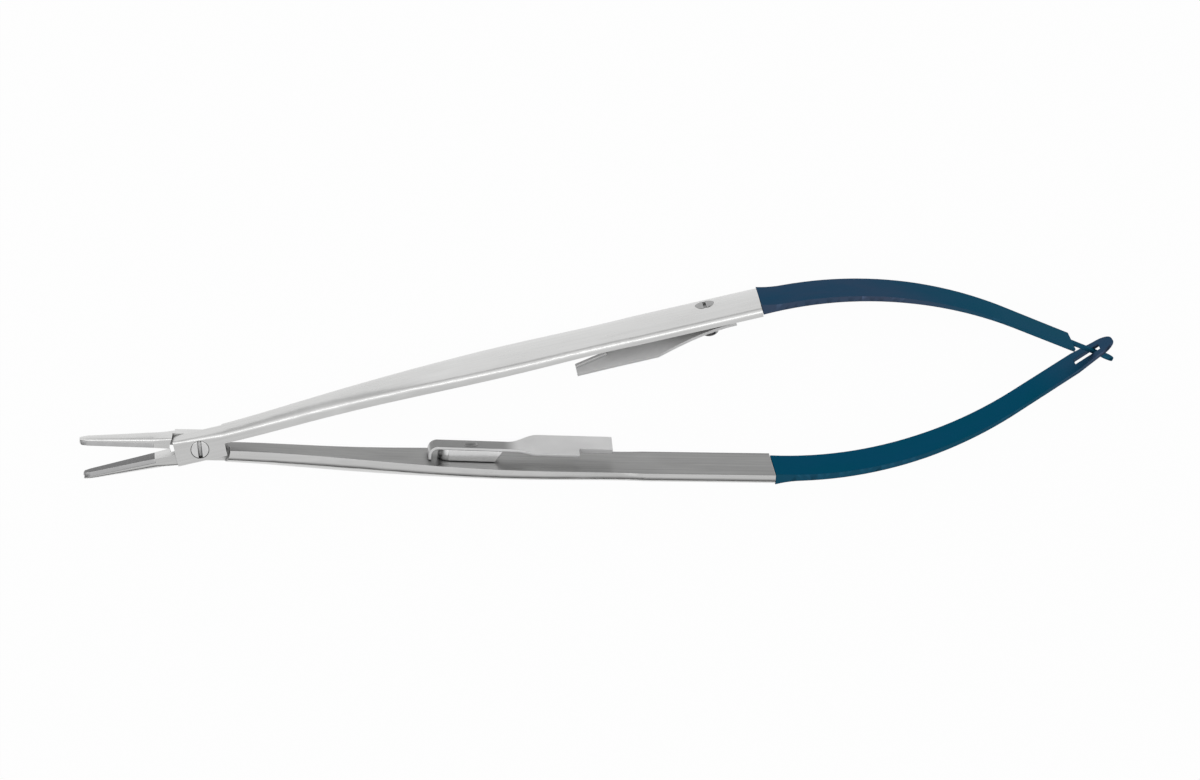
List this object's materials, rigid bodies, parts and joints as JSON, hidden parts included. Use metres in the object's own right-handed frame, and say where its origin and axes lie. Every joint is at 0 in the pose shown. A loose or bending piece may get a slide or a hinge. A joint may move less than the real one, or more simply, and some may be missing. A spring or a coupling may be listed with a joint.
{
  "type": "spring-handled needle holder",
  "caption": "Surgical needle holder with lap-jointed jaws, domed steel arms, a squeeze catch between them and blued leaf springs crossing at the rear.",
  "frame": {"origin": "middle of the footprint, on the plane the instrument rests on when it lies on its side", "axes": "+X from the jaws to the spring crossing, +Y towards the upper arm, +Z along the pivot screw towards its head"},
  "size_m": [0.1444, 0.0276, 0.009],
  "materials": {
    "handle_steel": "satin, brushed along the arm",
    "screw_steel": "fine turned, satin",
    "carbide": "matte, finely cross-cut",
    "catch_steel": "polished sheet",
    "blued_spring": "heat-blued steel, semi-gloss"
  },
  "bodies": {
    "far_half": {"lower_handle_half": "handle_steel", "pivot_screw": "screw_steel", "upper_jaw_insert": "carbide", "lower_catch_leaf": "catch_steel", "lower_catch_saddle": "catch_steel", "lower_catch_rivet": "screw_steel"},
    "near_half": {"upper_handle_half": "handle_steel", "lower_jaw_insert": "carbide", "upper_catch_leaf": "catch_steel", "upper_catch_screw": "screw_steel"},
    "upper_spring": {"upper_leaf_spring": "blued_spring"},
    "lower_spring": {"lower_leaf_spring": "blued_spring"}
  },
  "joints": [
    {"name": "jaw_pivot", "type": "hinge", "parent": "far_half", "child": "near_half", "pos_m": [-0.05578, 0, 0.0045], "axis": [0, 0, -1], "range_deg": [0, 14.4], "stiffness_Nm_per_rad": 0.3},
    {"name": "upper_leaf_flex", "type": "hinge", "parent": "near_half", "child": "upper_spring", "pos_m": [0.02323, 0.0133, 0.0045], "axis": [0, 0, 1], "range_deg": [0, 20.5]},
    {"name": "lower_leaf_flex", "type": "hinge", "parent": "far_half", "child": "lower_spring", "pos_m": [0.02323, -0.0133, 0.0045], "axis": [0, 0, -1], "range_deg": [0, 20.5]}
  ],
  "couplings": [
    {"joint": "upper_leaf_flex", "follows": "jaw_pivot", "ratio": 1.343},
    {"joint": "lower_leaf_flex", "follows": "jaw_pivot", "ratio": 1.343}
  ]
}
